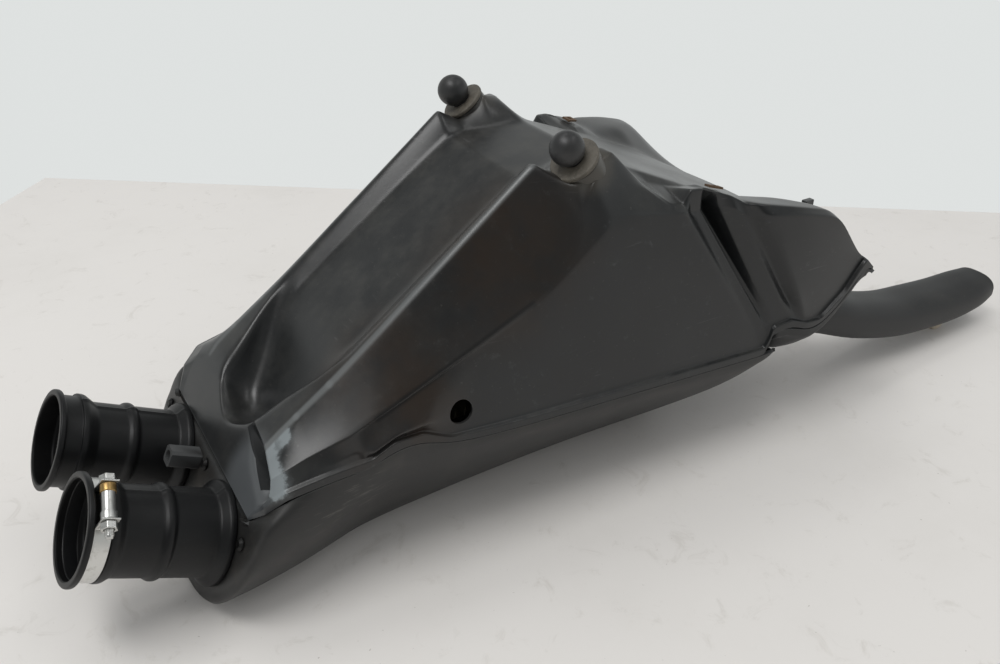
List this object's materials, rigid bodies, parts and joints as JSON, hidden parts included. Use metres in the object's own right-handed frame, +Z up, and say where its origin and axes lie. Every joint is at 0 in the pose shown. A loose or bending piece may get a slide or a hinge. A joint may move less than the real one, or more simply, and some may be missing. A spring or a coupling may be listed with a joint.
{
  "type": "motorcycle airbox",
  "caption": "Black moulded motorcycle airbox with a pleated filter inside, rubber intake boots, a hose clamp, ball studs and a rear snorkel.",
  "frame": {"origin": "on the floor, on the mid-plane, under the flat bottom of the tray", "axes": "+X towards the snorkel, +Y to the left seen with the boots at the front, +Z up"},
  "size_m": [0.7957, 0.2352, 0.259],
  "materials": {
    "moulded_plastic": "satin",
    "tray_plastic": "satin",
    "duct_plastic": "matte",
    "boot_rubber": "matte",
    "ball_rubber": "satin",
    "seal_rubber": "matte",
    "stud_collar": "matte",
    "foam_pad": "matte",
    "zinc_steel": "satin",
    "brass": "satin",
    "rusty_steel": "matte",
    "filter_paper": "matte",
    "filter_frame": "matte",
    "inner_plastic": "satin"
  },
  "bodies": {
    "base": {"lower_housing": "tray_plastic", "boot_left": "boot_rubber", "boot_right": "boot_rubber", "clamp_band": "zinc_steel", "clamp_sleeve": "zinc_steel", "clamp_nut": "brass", "stack_plate": "inner_plastic", "bellmouth_left": "inner_plastic", "bellmouth_right": "inner_plastic", "front_screw_left": "zinc_steel", "front_screw_mid": "zinc_steel", "front_screw_right": "zinc_steel", "breather_spigot": "inner_plastic", "seam_seal": "seal_rubber", "drain_plug": "seal_rubber"},
    "cover": {"upper_housing": "moulded_plastic", "intake_duct": "duct_plastic", "snorkel_foot": "foam_pad", "ball_stud_left": "ball_rubber", "ball_stud_right": "ball_rubber", "stud_seat_left": "stud_collar", "stud_seat_right": "stud_collar", "stud_nut_left": "zinc_steel", "stud_nut_right": "zinc_steel", "clip_nut_left": "rusty_steel", "clip_nut_right": "rusty_steel"},
    "filter": {"filter_element": "filter_paper", "filter_frame": "filter_frame"},
    "clamp_screw": {"clamp_screw": "zinc_steel"}
  },
  "joints": [
    {"name": "cover_lift", "type": "slide", "parent": "base", "child": "cover", "axis": [0, 0, 1], "range_m": [0, 0.12]},
    {"name": "filter_lift", "type": "slide", "parent": "base", "child": "filter", "axis": [0, 0, 1], "range_m": [0, 0.06]},
    {"name": "clamp_turn", "type": "hinge", "parent": "base", "child": "clamp_screw", "pos_m": [-0.23083, -0.06335, 0.10427], "axis": [0.2309, 0.866, 0.4435], "range_deg": [0, 720]}
  ],
  "couplings": [
    {"joint": "filter_lift", "follows": "cover_lift", "ratio": 0.5}
  ]
}
